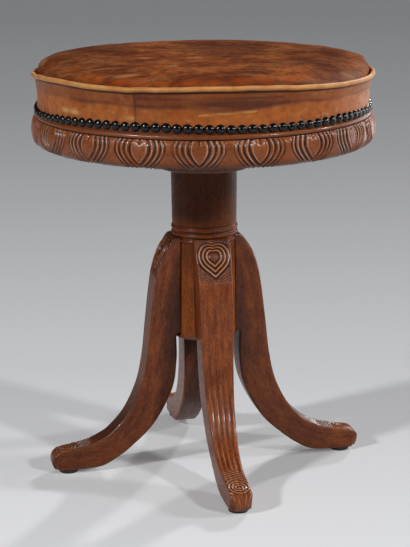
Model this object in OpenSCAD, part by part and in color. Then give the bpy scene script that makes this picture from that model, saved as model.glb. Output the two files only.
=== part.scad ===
// Revolving piano stool. Four sabre legs stand round a turned column. A screw spindle
// runs in a nut in the column's top and raises the round leather seat as it is turned.
// The axis of the column is Z, the floor is z = 0, and the front leg points to -Y.

/* [Apron] */
// Diameter of the carved apron at its fullest
apron_d = 400; // [380:1:430]
// Height of the apron
apron_h = 31.4; // [28:0.1:34]
// Width of the apron's ring, from its fullest face in to the seat board
apron_w = 24; // [20:0.5:30]
// How far the apron hangs below the underside of the seat board
apron_drop = 5.1; // [2:0.1:7]
// Height of the bead moulding above the apron
bead_h = 6.1; // [5:0.1:8]
// Width of the bead moulding
bead_w = 5.4; // [5:0.1:8]
// How far the face of the bead stands inside the fullest part of the apron
bead_in = 3.6; // [2:0.1:5]

/* [Upholstery] */
// Height of the wooden drum that the leather is nailed to
drum_h = 38; // [32:1:42]
// Width of the drum's ring
drum_w = 30; // [26:1:40]
// Height from the top of the bead to the centre of the piping
band_h = 47.8; // [46:0.1:60]
// How far the leather band stands out below the piping
band_flare = 1.5; // [0.5:0.1:2]
// Thickness of the leather
leather_t = 2; // [1.5:0.1:3]
// Diameter of the piping
piping_d = 5.6; // [5:0.1:8]
// Height of the crown of the seat above the centre of the piping
crown_h = 13; // [6:0.5:24]
// Number of nails round the band
nail_count = 104; // [60:1:106]
// Diameter of a nail's domed head
nail_d = 11.3; // [9:0.1:11.4]
// Height of a nail's dome
nail_h = 3.4; // [2:0.1:5]
// Height of the nails' centres above the bead
nail_up = 6.2; // [6.1:0.1:10]
// Diameter of a nail's shank
nail_shank_d = 2; // [1.4:0.1:2.4]
// Length of a nail's shank
nail_shank_l = 13; // [8:1:20]

/* [Screw] */
// Diameter of the screw spindle
spindle_d = 28; // [22:1:30]
// Room left under the spindle's stop when the seat is at its lowest
spindle_spare = 18.4; // [10:0.1:60]
// Length of the nut below its flange
nut_l = 45; // [30:1:50]
// Diameter of the nut's barrel
nut_d = 43; // [40:1:44]
// Diameter of the nut's flange
flange_d = 61; // [60:1:64]
// Thickness of the nut's flange
flange_t = 5; // [4:0.5:7]
// Diameter of the loose washer between the column and the seat
washer_d = 66; // [58:1:72]
// Thickness of the loose washer
washer_t = 2; // [1:0.5:4]
// Diameter of the stop washer on the spindle's lower end
stop_d = 34; // [32:1:35]
// Thickness of the stop washer
stop_t = 3; // [2:0.5:5]
// Diameter of the iron plate that carries the seat on the spindle
plate_d = 84; // [76:1:86]
// Thickness of the iron plate
plate_t = 5; // [4:0.5:8]
// Diameter of the spindle's riveted end in the plate
rivet_d = 20; // [14:1:20]
// Diameter of the turned boss under the seat
boss_d = 114; // [110:1:130]
// Height of the boss
boss_h = 37.5; // [26:0.5:42]
// Radius of the boss's lower edge
boss_round = 2.5; // [2:0.5:4]

/* [Column] */
// Diameter of the column
column_d = 76.2; // [74:0.1:84]
// How much the column widens from its turned rings up to its top
column_flare = 1.6; // [0:0.1:4]
// Height of the column
column_h = 197.5; // [192:0.5:230]
// Height of the column's foot cap above the floor
column_lift = 162; // [150:1:180]
// Diameter of the column's bore
bore_d = 36; // [36:0.5:38]
// Thickness of the turned cap under the column
cap_h = 5; // [4:0.5:10]
// Length of the cap's spigot in the bore
cap_spigot = 14; // [8:1:20]
// Radius of the cap's lower edge
cap_round = 1.6; // [1:0.1:2.5]
// Width of a turned groove
groove_w = 3.6; // [2:0.1:5]
// Number of turned grooves, each with a turned ring below it
groove_count = 3; // [1:1:4]
// Distance from one groove to the next
groove_pitch = 6.6; // [6:0.1:9]
// Thickness of a turned ring
ring_d = 6; // [4:0.1:6.4]
// How far a turned ring stands out from the column
ring_out = 1.3; // [0.4:0.1:2]
// Height of the lowest groove above the foot of the column
groove_up = 117.5; // [110:0.5:130]

/* [Legs] */
// Distance from the column's axis to the tip of a foot
leg_reach = 190.5; // [175:0.5:210]
// Height of a leg's joint on the column
joint_h = 118; // [112:0.5:128]
// Width of a leg at its top
leg_w = 42; // [38:1:44]
// Number of reeds down the outer face of a leg
reed_count = 5; // [3:1:7]
// Width of the groove between two reeds
reed_gap = 1.4; // [0.8:0.1:2]
// Depth of the groove between two reeds
reed_depth = 1; // [0.6:0.1:1.6]
// Rounding of the two corners of a foot, seen from above
toe_round = 6; // [3:0.5:9]
// Diameter of a leg's dowels
dowel_d = 10; // [8:1:12]
// Depth of a dowel in the column
dowel_in = 9; // [6:0.5:10]
// Depth of a dowel in the leg
dowel_out = 16; // [10:0.5:18]

/* [Glides] */
// Diameter of a glide
glide_d = 23; // [18:0.5:24]
// Thickness of a glide
glide_t = 4.5; // [4:0.1:8]
// Distance from the tip of a foot to the centre of its glide
glide_in = 21; // [20:0.5:32]
// Rounding of a glide's lower edge
glide_round = 0.8; // [0.5:0.1:2]
// Diameter of the nail that holds a glide
glide_nail_d = 2.6; // [2:0.1:3]
// Length of the glide's nail in the foot
glide_nail_l = 15; // [10:1:16]
// Diameter of the glide nail's head
glide_head_d = 7; // [6:0.5:9]
// Thickness of the glide nail's head
glide_head_t = 1.2; // [0.8:0.1:1.6]

/* [Fasteners] */
// Head diameter of the nut's screws
nut_screw_head = 7; // [6:0.5:7.5]
// Shank diameter of the nut's screws
nut_screw_d = 3.6; // [3:0.1:4]
// Length of the nut's screws
nut_screw_l = 22; // [16:1:30]
// Head diameter of the seat's wood screws
wood_screw_head = 8; // [7:0.5:9]
// Shank diameter of the seat's wood screws
wood_screw_d = 4.2; // [3.5:0.1:4.6]
// Length of the plate's screws
plate_screw_l = 22; // [16:1:24]
// Depth of the boss's screws in the seat board
boss_screw_in = 14; // [10:1:18]
// Depth of the drum's screws in the drum
drum_screw_in = 18; // [12:1:24]
// Number of screws that hold the drum
drum_screw_count = 8; // [6:1:12]
// Diameter of the stop screw's shank
stop_screw_d = 6; // [5:0.5:8]
// Depth of the stop screw in the spindle
stop_screw_in = 18; // [12:1:24]
// Diameter of the stop screw's head
stop_head_d = 12; // [10:0.5:14]
// Height of the stop screw's head
stop_head_h = 4; // [3:0.5:6]

/* [Hidden] */
$fn = 96;

// Clearances: a running thread, a turning face, a loose washer, a glued or driven fit
thread_gap = 0.05;
face_gap = 0.1;
loose_gap = 0.5;
fit_gap = 0.05;
soft_gap = 0.1;
// How far a cut runs past the face that it opens
over = 1;

quarter = 90;
leg_turns = [0, quarter, 2 * quarter, 3 * quarter];
screw_count = 4;

column_r = column_d / 2;
column_foot = column_lift + cap_h;
column_top = column_foot + column_h;
bore_r = bore_d / 2;
leg_top = column_foot + joint_h;
// A leg's flat seat goes in as deep as its full width needs on the round column
seat_r = sqrt(column_r * column_r - leg_w * leg_w / 4);

nut_foot = column_top - flange_t - nut_l;
spindle_r = spindle_d / 2;
spindle_foot = column_foot + cap_spigot + spindle_spare + stop_head_h + stop_t;
// How far the seat can rise, until the stop meets the nut
rise = nut_foot - face_gap - spindle_foot;
nut_screw_r = (flange_d + nut_d) / 4;

boss_foot = column_top + washer_t + face_gap;
board_foot = boss_foot + boss_h;
plate_foot = board_foot - plate_t;
apron_foot = board_foot - apron_drop;
apron_top = apron_foot + apron_h;
apron_r = apron_d / 2;
board_r = apron_r - apron_w;
plate_screw_r = (plate_d + rivet_d) / 4;
boss_screw_r = (boss_d - 2 * boss_round + plate_d) / 4;
boss_screw_l = boss_h + boss_screw_in;

bead_top = apron_top + bead_h;
bead_r = apron_r - bead_in;
drum_r = bead_r - bead_w;
drum_top = apron_top + drum_h;
drum_in = drum_r - drum_w;
drum_screw_r = (board_r + drum_in) / 2;
drum_screw_l = apron_top - board_foot + drum_screw_in;
piping_z = bead_top + band_h;
piping_r = piping_d / 2;
band_r = drum_r + leather_t;
// The piping lies against the outer face of the band
piping_at = band_r + band_flare + piping_r / 2;
cover_r = piping_at - piping_r - soft_gap;
nail_z = bead_top + nail_up;

// Leg outline: shares of the reach beyond the column's face, and of the height above
// the glide, from the shoulder down the outer face to the sole
outer_shares = [[0.019, 0.998], [0.071, 0.961], [0.123, 0.907], [0.157, 0.843],
    [0.193, 0.711], [0.219, 0.59], [0.247, 0.465], [0.298, 0.3475], [0.401, 0.234],
    [0.525, 0.155], [0.694, 0.108], [0.858, 0.09], [0.947, 0.08], [0.99, 0.059],
    [1, 0.0355], [0.983, 0.0107], [0.959, 0]];
// The inner face, from the sole up; its heights are shares of the column foot's height
inner_shares = [[0.642, 0], [0.56, 0.028], [0.458, 0.086], [0.334, 0.1815],
    [0.224, 0.28], [0.106, 0.44], [0.03, 0.6246], [0.002, 0.803]];
// Width of a leg at shares of its height, from the foot up
width_shares = [[0, 0.63], [0.09, 0.63], [0.212, 0.714], [0.387, 0.81],
    [0.58, 0.905], [1, 1]];
// The reeds run from the carved head of a leg to its ankle: the outer points they span
reed_first = 3;
reed_last = 10;
// Distance from one reed to the next, as a share of the leg's width there
reed_pitch_share = 0.2;
// Apron outline: shares of its width in from the fullest face, and of its height
apron_shares = [[0.3, 0], [0.13, 0.09], [0.035, 0.24], [0, 0.43], [0.012, 0.66],
    [0.075, 0.87], [0.17, 1]];
curve_steps = 3;
// How sharply the seat's crown falls at its edge
crown_power = 7;
crown_steps = 24;

// A smooth curve through points p, with n steps from one to the next
function blend(a, b, c, d, t) = (2 * b + (c - a) * t + (2 * a - 5 * b + 4 * c - d) * t * t
    + (3 * b - a - 3 * c + d) * t * t * t) / 2;
function curve(p, n) = concat([for (i = [0:len(p) - 2], k = [0:n - 1])
    blend(p[max(i - 1, 0)], p[i], p[i + 1], p[min(i + 2, len(p) - 1)], k / n)],
    [p[len(p) - 1]]);

// Points of a leg's side view, with its flat seat against the column
function leg_outline() = concat(
    [[seat_r, leg_top]],
    [for (s = curve(outer_shares, curve_steps))
        [column_r + s[0] * (leg_reach - column_r), glide_t + s[1] * (leg_top - glide_t)]],
    [for (s = curve(inner_shares, curve_steps))
        [column_r + s[0] * (leg_reach - column_r) + face_gap,
         glide_t + s[1] * (column_foot - glide_t)]],
    [[column_r + face_gap, column_foot], [seat_r, column_foot]]);

// Part of a leg's outer face, from point a to point b of its table
function outer_face(a, b) = [for (s = curve([for (i = [a:b]) outer_shares[i]], curve_steps))
    [column_r + s[0] * (leg_reach - column_r), glide_t + s[1] * (leg_top - glide_t)]];
// The direction out of a line of points, square to it, at point i
function outward(p, i) = let (d = p[max(i - 1, 0)] - p[min(i + 1, len(p) - 1)])
    [d[1], -d[0]] / norm(d);

// Height of the crown above the piping's centre at radius r
function crown(r) = crown_h * (1 - pow(r / cover_r, crown_power));
function crown_line(low, r) = [for (k = [0:crown_steps])
    [r * k / crown_steps, piping_z + crown(r * k / crown_steps) - low]];

// A leg's width at each height
leg_widths = [for (s = curve(width_shares, curve_steps))
    [glide_t + s[0] * (leg_top - glide_t), s[1] * leg_w]];

// A leg's width, seen from the front, as a plate that reaches out from the column
module leg_width() {
    half = [for (w = leg_widths) [w[1] / 2, w[0]]];
    n = len(half);
    rotate([90, 0, 90]) linear_extrude(leg_reach + over)
        polygon(concat(half, [for (i = [n - 1:-1:0]) [-half[i][0], half[i][1]]]));
}

// Grooves that part the reeds. They follow the outer face, run out just clear of it at
// their ends, and close in on each other as the leg narrows
module reed_cuts() {
    p = outer_face(reed_first, reed_last);
    n = len(p) - 1;
    top_w = lookup(p[0][1], leg_widths);
    foot_w = lookup(p[n][1], leg_widths);
    height = p[0][1] - p[n][1];
    deep = [for (i = [0:n]) (reed_depth + fit_gap) * sin(2 * quarter * i / n) - fit_gap];
    cut = concat([for (i = [0:n]) p[i] + over * outward(p, i)],
        [for (i = [n:-1:0]) p[i] - deep[i] * outward(p, i)]);
    for (k = [1:reed_count - 1]) {
        place = (k - reed_count / 2) * reed_pitch_share;
        translate([0, place * foot_w, p[n][1]])
            rotate([-atan(place * (top_w - foot_w) / height), 0, 0])
                translate([0, 0, -p[n][1]]) rotate([90, 0, 0])
                    linear_extrude(reed_gap, center = true) polygon(cut);
    }
}

// A leg seen from above, with its toe's corners rounded
module leg_plan() {
    toe_half = width_shares[0][1] * leg_w / 2 - toe_round;
    translate([0, 0, -over]) linear_extrude(leg_top + 2 * over) {
        translate([0, -leg_w]) square([leg_reach - toe_round, 2 * leg_w]);
        translate([0, -toe_half]) square([leg_reach, 2 * toe_half]);
        for (side = [-1, 1]) translate([leg_reach - toe_round, side * toe_half])
            circle(r = toe_round);
    }
}

// Radial holes or pegs at the two dowel places of one leg
module dowel_pair(gap) {
    for (z = [column_foot + joint_h / 4, column_foot + 3 * joint_h / 4])
        translate([seat_r - dowel_in, 0, z]) rotate([0, 90, 0])
            cylinder(r = dowel_d / 2 + gap, h = dowel_in + dowel_out);
}

// A countersunk screw with its driver slot, pointing up from its head's face
module screw(head, shank, length) {
    cone = (head - shank) / 2;
    difference() {
        rotate_extrude() polygon([[0, 0], [head / 2, 0], [shank / 2, cone],
            [shank / 2, length - cone], [0, length]]);
        cube([head + over, head / 8, head / 4], center = true);
    }
}

// The hole of such a screw, open past the face that the head is flush with
module screw_hole(head, shank, length) {
    cone = (head - shank) / 2;
    mouth = head / 2 + fit_gap;
    neck = shank / 2 + fit_gap;
    rotate_extrude() polygon([[0, -over], [mouth, -over], [mouth, 0], [neck, cone + fit_gap],
        [neck, length - cone + fit_gap], [0, length + fit_gap]]);
}

module ring_of(count, r, start = 0) {
    for (i = [0:count - 1]) rotate([0, 0, start + 360 * i / count]) translate([r, 0, 0])
        children();
}

// Pedestal

// Half the column's turned outline: a straight foot, rings between grooves, a flared top
module column_outline() {
    groove_foot = column_foot + groove_up;
    rings_top = groove_foot + (groove_count - 1) * groove_pitch;
    difference() {
        union() {
            polygon([[0, column_foot], [column_r, column_foot], [column_r, rings_top],
                [column_r + column_flare / 2, column_top], [0, column_top]]);
            for (i = [0:groove_count - 1])
                translate([column_r + ring_out - ring_d / 2,
                    groove_foot + (i - 1 / 2) * groove_pitch]) circle(d = ring_d);
        }
        for (i = [0:groove_count - 1])
            translate([column_r, groove_foot + i * groove_pitch]) circle(d = groove_w);
    }
}

module column() {
    color("#4a2519") difference() {
        rotate_extrude() column_outline();
        translate([0, 0, column_foot - over]) cylinder(d = bore_d, h = column_h + 2 * over);
        translate([0, 0, nut_foot]) cylinder(d = nut_d + 2 * fit_gap, h = column_h);
        translate([0, 0, column_top - flange_t])
            cylinder(d = flange_d + 2 * fit_gap, h = flange_t + over);
        for (a = leg_turns) rotate([0, 0, a]) {
            intersection() {
                leg_width();
                translate([seat_r, -column_r, column_foot - over])
                    cube([column_r, column_d, joint_h + over]);
            }
            dowel_pair(fit_gap);
        }
        translate([0, 0, column_top]) ring_of(screw_count, nut_screw_r, quarter / 2)
            rotate([180, 0, 0]) screw_hole(nut_screw_head, nut_screw_d, nut_screw_l);
    }
}

module base_cap() {
    color("#5a3020") rotate_extrude() union() {
        translate([0, column_lift]) square([column_r - cap_round, cap_h]);
        translate([0, column_lift + cap_round]) square([column_r, cap_h - cap_round]);
        translate([column_r - cap_round, column_lift + cap_round]) circle(r = cap_round);
        translate([0, column_lift]) square([bore_r - fit_gap, cap_h + cap_spigot]);
    }
}

module spindle_nut() {
    color("#55504a") difference() {
        union() {
            translate([0, 0, nut_foot]) cylinder(d = nut_d, h = nut_l + flange_t);
            translate([0, 0, column_top - flange_t]) cylinder(d = flange_d, h = flange_t);
        }
        translate([0, 0, nut_foot - over])
            cylinder(r = spindle_r + thread_gap, h = nut_l + flange_t + 2 * over);
        translate([0, 0, column_top]) ring_of(screw_count, nut_screw_r, quarter / 2)
            rotate([180, 0, 0]) screw_hole(nut_screw_head, nut_screw_d, nut_screw_l);
    }
}

module nut_screws() {
    color("#77736c") translate([0, 0, column_top])
        ring_of(screw_count, nut_screw_r, quarter / 2)
            rotate([180, 0, 0]) screw(nut_screw_head, nut_screw_d, nut_screw_l);
}

module leg(turn) {
    color("#7a3e22") rotate([0, 0, turn]) difference() {
        intersection() {
            rotate([90, 0, 0]) linear_extrude(2 * leg_w, center = true)
                polygon(leg_outline());
            leg_width();
            leg_plan();
        }
        reed_cuts();
        dowel_pair(fit_gap);
        translate([leg_reach - glide_in, 0, glide_t - over])
            cylinder(d = glide_nail_d + 2 * fit_gap, h = glide_nail_l + fit_gap + over);
    }
}

module leg_dowels() {
    color("#c79a63") for (a = leg_turns) rotate([0, 0, a]) dowel_pair(0);
}

// The nail's head lies in a recess, so that it never touches the floor
module glide(turn) {
    head_z = (glide_t - glide_head_t) / 2;
    color("#171514") rotate([0, 0, turn]) translate([leg_reach - glide_in, 0, 0])
        rotate_extrude() difference() {
            union() {
                square([glide_d / 2 - glide_round, glide_t]);
                translate([0, glide_round]) square([glide_d / 2, glide_t - glide_round]);
                translate([glide_d / 2 - glide_round, glide_round]) circle(r = glide_round);
            }
            square([glide_nail_d / 2 + fit_gap, glide_t + over]);
            square([glide_head_d / 2 + fit_gap, head_z + glide_head_t + fit_gap]);
        }
}

module glide_nails() {
    head_z = (glide_t - glide_head_t) / 2;
    color("#8b8881") for (a = leg_turns) rotate([0, 0, a])
        translate([leg_reach - glide_in, 0, 0]) {
            translate([0, 0, head_z]) cylinder(d = glide_head_d, h = glide_head_t);
            translate([0, 0, head_z])
                cylinder(d = glide_nail_d, h = glide_t - head_z + glide_nail_l);
        }
}

module thrust_washer() {
    color("#8f8a80") difference() {
        translate([0, 0, column_top]) cylinder(d = washer_d, h = washer_t);
        translate([0, 0, column_top - over])
            cylinder(r = spindle_r + loose_gap, h = washer_t + 2 * over);
    }
}

// Seat

module spindle() {
    color("#9a958b") difference() {
        union() {
            translate([0, 0, spindle_foot])
                cylinder(r = spindle_r, h = plate_foot - spindle_foot);
            translate([0, 0, spindle_foot]) cylinder(d = rivet_d, h = board_foot - spindle_foot);
        }
        translate([0, 0, spindle_foot - over])
            cylinder(d = stop_screw_d + 2 * fit_gap, h = stop_screw_in + fit_gap + over);
    }
}

module stop_washer() {
    color("#8f8a80") difference() {
        translate([0, 0, spindle_foot - stop_t]) cylinder(d = stop_d, h = stop_t);
        translate([0, 0, spindle_foot - stop_t - over])
            cylinder(d = stop_screw_d + 2 * fit_gap, h = stop_t + 2 * over);
    }
}

module stop_screw() {
    foot = spindle_foot - stop_t - stop_head_h;
    color("#77736c") difference() {
        translate([0, 0, foot]) union() {
            cylinder(d = stop_head_d, h = stop_head_h);
            cylinder(d = stop_screw_d, h = stop_head_h + stop_t + stop_screw_in);
        }
        translate([0, 0, foot])
            cube([stop_head_d + over, stop_head_d / 8, stop_head_h], center = true);
    }
}

module spindle_plate() {
    color("#55504a") difference() {
        translate([0, 0, plate_foot]) cylinder(d = plate_d, h = plate_t);
        translate([0, 0, plate_foot - over])
            cylinder(d = rivet_d + 2 * fit_gap, h = plate_t + 2 * over);
        translate([0, 0, plate_foot]) ring_of(screw_count, plate_screw_r)
            screw_hole(wood_screw_head, wood_screw_d, plate_screw_l);
    }
}

module plate_screws() {
    color("#77736c") translate([0, 0, plate_foot]) ring_of(screw_count, plate_screw_r)
        screw(wood_screw_head, wood_screw_d, plate_screw_l);
}

module boss() {
    color("#8a5a3a") difference() {
        rotate_extrude() union() {
            translate([0, boss_foot]) square([boss_d / 2 - boss_round, boss_h]);
            translate([0, boss_foot + boss_round])
                square([boss_d / 2, boss_h - boss_round]);
            translate([boss_d / 2 - boss_round, boss_foot + boss_round])
                circle(r = boss_round);
        }
        translate([0, 0, boss_foot - over])
            cylinder(r = spindle_r + loose_gap, h = boss_h + 2 * over);
        translate([0, 0, plate_foot])
            cylinder(d = plate_d + 2 * fit_gap, h = plate_t + over);
        translate([0, 0, boss_foot]) ring_of(screw_count, boss_screw_r, quarter / 2)
            screw_hole(wood_screw_head, wood_screw_d, boss_screw_l);
    }
}

module boss_screws() {
    color("#77736c") translate([0, 0, boss_foot])
        ring_of(screw_count, boss_screw_r, quarter / 2)
            screw(wood_screw_head, wood_screw_d, boss_screw_l);
}

module drum_screw_places() {
    translate([0, 0, board_foot])
        ring_of(drum_screw_count, drum_screw_r, quarter / 4) children();
}

module seat_board() {
    color("#b98a5a") difference() {
        translate([0, 0, board_foot])
            cylinder(r = board_r - fit_gap, h = apron_top - board_foot, $fn = 180);
        translate([0, 0, plate_foot]) ring_of(screw_count, plate_screw_r)
            screw_hole(wood_screw_head, wood_screw_d, plate_screw_l);
        translate([0, 0, boss_foot]) ring_of(screw_count, boss_screw_r, quarter / 2)
            screw_hole(wood_screw_head, wood_screw_d, boss_screw_l);
        drum_screw_places()
            screw_hole(wood_screw_head, wood_screw_d, drum_screw_l);
    }
}

module apron() {
    color("#7b4a33") rotate_extrude($fn = 180) polygon(concat(
        [for (s = curve(apron_shares, curve_steps))
            [apron_r - s[0] * apron_w, apron_foot + s[1] * apron_h]],
        [[board_r, apron_top], [board_r, apron_foot]]));
}

// A small half-round bead glued on the apron, round the foot of the drum
module bead() {
    color("#8a5a3a") rotate_extrude($fn = 180) intersection() {
        union() {
            translate([drum_r, apron_top]) square([bead_w - bead_h / 2, bead_h]);
            translate([bead_r - bead_h / 2, apron_top + bead_h / 2]) circle(d = bead_h);
        }
        translate([drum_r + fit_gap, apron_top]) square([bead_w, bead_h]);
    }
}

module nail_places() {
    for (i = [0:nail_count - 1]) rotate([0, 0, 360 * i / nail_count])
        translate([band_r, 0, nail_z]) rotate([0, 90, 0]) children();
}

module nail_holes() {
    nail_places() translate([0, 0, fit_gap - nail_shank_l])
        cylinder(d = nail_shank_d + 2 * fit_gap, h = nail_shank_l + over, $fn = 16);
}

module seat_drum() {
    color("#b98a5a") difference() {
        translate([0, 0, apron_top]) cylinder(r = drum_r, h = drum_h, $fn = 180);
        translate([0, 0, apron_top - over])
            cylinder(r = drum_in, h = drum_h + 2 * over, $fn = 180);
        drum_screw_places()
            screw_hole(wood_screw_head, wood_screw_d, drum_screw_l);
        nail_holes();
    }
}

module drum_screws() {
    color("#77736c") drum_screw_places()
        screw(wood_screw_head, wood_screw_d, drum_screw_l);
}

// Horsehair that fills the drum and rolls over its edge, up to the crowned leather
module stuffing() {
    lid = crown_line(leather_t + soft_gap, drum_r - soft_gap);
    color("#c9b48a") rotate_extrude($fn = 180) polygon(concat(
        [[0, apron_top], [drum_in - soft_gap, apron_top],
         [drum_in - soft_gap, drum_top + soft_gap], [drum_r - soft_gap, drum_top + soft_gap]],
        [for (i = [crown_steps:-1:0]) lid[i]]));
}

// The leather round the side, drawn in at its middle and nailed at its lower edge
module side_band() {
    top = piping_z - piping_r;
    rows = [[0, bead_top + soft_gap], [0, drum_top], [band_flare / 3, (drum_top + top) / 2],
        [band_flare, top]];
    color("#a9652f") difference() {
        rotate_extrude($fn = 180) polygon(concat(
            [for (p = rows) [drum_r + p[0] + fit_gap, p[1]]],
            [for (i = [len(rows) - 1:-1:0]) [band_r + rows[i][0], rows[i][1]]]));
        nail_holes();
    }
}

// The crowned leather top
module top_cover() {
    lid = crown_line(0, cover_r);
    color("#7a3a1e") rotate_extrude($fn = 180) polygon(concat(
        [for (i = [0:crown_steps]) lid[i] - [0, leather_t]],
        [for (i = [crown_steps:-1:0]) lid[i]]));
}

module piping() {
    color("#d59a56") rotate_extrude($fn = 180) translate([piping_at, piping_z])
        circle(r = piping_r, $fn = 32);
}

module nails() {
    cap_r = (nail_d * nail_d / 4 + nail_h * nail_h) / (2 * nail_h);
    color("#121010") nail_places() {
        rotate_extrude($fn = 24) intersection() {
            translate([0, nail_h - cap_r]) circle(r = cap_r, $fn = 64);
            square([nail_d / 2, nail_h]);
        }
        translate([0, 0, -nail_shank_l])
            cylinder(d = nail_shank_d, h = nail_shank_l + nail_h / 2, $fn = 16);
    }
}

column();
base_cap();
spindle_nut();
nut_screws();
leg_dowels();
leg(leg_turns[0]);  // leg_right
leg(leg_turns[1]);  // leg_back
leg(leg_turns[2]);  // leg_left
leg(leg_turns[3]);  // leg_front
glide(leg_turns[0]);  // glide_right
glide(leg_turns[1]);  // glide_back
glide(leg_turns[2]);  // glide_left
glide(leg_turns[3]);  // glide_front
glide_nails();
thrust_washer();
spindle();
stop_washer();
stop_screw();
spindle_plate();
plate_screws();
boss();
boss_screws();
seat_board();
apron();
bead();
seat_drum();
drum_screws();
stuffing();
side_band();
top_cover();
piping();
nails();
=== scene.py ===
# %% [markdown]
# # A revolving piano stool
# The stool has a round leather seat on a steel screw, a turned column and four carved sabre
# legs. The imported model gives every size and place, and this script gives each piece its real
# surface: carving, french polish, old leather, nails and the screw's thread.

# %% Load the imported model
import math

import bmesh
import bpy
import numpy as np
from mathutils import Matrix, Vector


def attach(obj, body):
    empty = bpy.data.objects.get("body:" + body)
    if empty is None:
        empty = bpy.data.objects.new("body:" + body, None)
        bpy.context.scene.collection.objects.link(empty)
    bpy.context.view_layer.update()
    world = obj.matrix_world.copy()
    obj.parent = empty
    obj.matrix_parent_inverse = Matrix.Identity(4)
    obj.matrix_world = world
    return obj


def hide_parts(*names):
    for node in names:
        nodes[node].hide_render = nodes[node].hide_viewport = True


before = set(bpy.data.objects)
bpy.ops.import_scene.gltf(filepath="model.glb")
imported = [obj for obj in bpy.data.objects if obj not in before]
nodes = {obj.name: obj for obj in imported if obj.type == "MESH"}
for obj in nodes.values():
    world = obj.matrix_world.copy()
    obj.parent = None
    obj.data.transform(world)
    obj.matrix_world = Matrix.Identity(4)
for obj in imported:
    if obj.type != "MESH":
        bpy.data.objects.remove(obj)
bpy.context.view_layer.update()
MM = 0.001

# %% [markdown]
# ## The camera
# A long lens from slightly above keeps the round seat calm and the legs upright. The angles
# come from fitting the rims of the seat and the four feet, so the view is turned 12 degrees
# away from the front leg.

# %% Place the camera
VIEW_TURN = math.radians(-12.28)
VIEW_REACH, VIEW_HEIGHT, VIEW_TILT = 2.07007, 0.77536, 0.25549
VIEW_PAN, VIEW_ROLL = -0.0002, -0.0078
FRAME_HIGH = 547

lens = bpy.data.cameras.new("camera")
lens.lens, lens.sensor_width = 118.14, 36.0
camera = bpy.data.objects.new("camera", lens)
bpy.context.scene.collection.objects.link(camera)
camera.matrix_world = (
    Matrix.Rotation(VIEW_TURN, 4, "Z")
    @ Matrix.Translation((0, -VIEW_REACH, VIEW_HEIGHT))
    @ Matrix.Rotation(VIEW_PAN, 4, "Z")
    @ Matrix.Rotation(math.pi / 2 - VIEW_TILT, 4, "X")
    @ Matrix.Rotation(VIEW_ROLL, 4, "Z")
)
bpy.context.scene.camera = camera
print("camera at", [round(v, 3) for v in camera.matrix_world.translation])


# %% [markdown]
# ## Colours and nodes
# Colours are read off as sRGB hex and turned to linear here, because Blender mixes light in
# linear values. One helper adds a shader node, sets its sockets and links it. Four more make
# clouds of noise, draw a pattern out, stretch a value, and lay one tone over another, so a
# material reads as a list of steps. They are tried on a material that is removed again.


# %% Colours
def colour(hexcode):
    """An sRGB hex colour as a linear colour."""
    parts = [int(hexcode[k : k + 2], 16) / 255 for k in (0, 2, 4)]
    return (*[c / 12.92 if c <= 0.04045 else ((c + 0.055) / 1.055) ** 2.4 for c in parts], 1.0)


print("brown in linear:", [round(c, 3) for c in colour("7A3E22")])


# %% Nodes
def set_sockets(tree, node, sockets):
    """Gives each socket its value, or links a socket or a node's first output to it."""
    for key, value in sockets.items():
        if isinstance(value, bpy.types.Node):
            value = value.outputs[0]
        if isinstance(value, bpy.types.NodeSocket):
            tree.links.new(value, node.inputs[key])
        else:
            node.inputs[key].default_value = value


def add_node(tree, kind, sockets=None, stops=None, **settings):
    """Adds a node with its settings, its sockets and, for a colour ramp, its stops."""
    node = tree.nodes.new("ShaderNode" + kind)
    for key, value in settings.items():
        setattr(node, key, value)
    set_sockets(tree, node, sockets or {})
    if stops:
        points = node.color_ramp.elements
        for point, (place, tone) in zip((points[0], points[-1]), (stops[0], stops[-1])):
            point.position, point.color = place, tone
        for place, tone in stops[1:-1]:
            points.new(place).color = tone
    return node


def new_material(name):
    """An empty material with its shader and its output."""
    material = bpy.data.materials.new(name)
    material.use_nodes = True
    tree = material.node_tree
    tree.nodes.clear()
    shader = add_node(tree, "BsdfPrincipled")
    add_node(tree, "OutputMaterial", {"Surface": shader})
    return material, tree, shader


print("first material:", new_material("trial")[0].name)


# %% Noise, spans and blends
def noise(tree, place, scale, detail, rough=0.5, twist=0.0):
    """Clouds of noise, with this many lumps in a metre."""
    return add_node(tree, "TexNoise", {
        "Vector": place, "Scale": scale, "Detail": detail, "Roughness": rough, "Distortion": twist,
    })


def drawn_out(tree, place, share, turn=0.0):
    """Turns a place round Z, then squeezes its X to a share, which draws the pattern out that way."""
    return add_node(tree, "Mapping", {"Vector": place, "Rotation": (0, 0, turn), "Scale": (share, 1, 1)})


def span(tree, value, low=0.0, high=1.0, least=0.0, most=1.0):
    """Stretches the values from low to high over those from least to most."""
    return add_node(tree, "MapRange", {
        "Value": value, "From Min": low, "From Max": high, "To Min": least, "To Max": most,
    })


def blend(tree, share, under, over):
    """Lays a share of one tone over another. A tone is a hex colour or a node."""
    under, over = (colour(tone) if isinstance(tone, str) else tone for tone in (under, over))
    return add_node(tree, "MixRGB", {"Fac": share, "Color1": under, "Color2": over})


trial = bpy.data.materials["trial"]
tree = trial.node_tree
blend(tree, span(tree, noise(tree, (0, 0, 0), 10, 2), 0.3, 0.7), "7A3E22", "A25624")
print("a first blend makes it", len(tree.nodes), "nodes")
bpy.data.materials.remove(trial)

# %% [markdown]
# ## Floor and light
# The stool stands on a studio floor that runs from pale grey at the front to dark grey far
# away. The greys are written in the floor's own colour, row by row of the picture. A part of
# them glows for the camera and in reflections, which keeps the shadows pale, and for all other
# rays the floor is darker, so that little light comes back up under the seat. Four softboxes
# stand round the stool, and here they are suns, so that the light is even. Two white boards
# and a small spark of a lamp only show in the polish.


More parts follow.
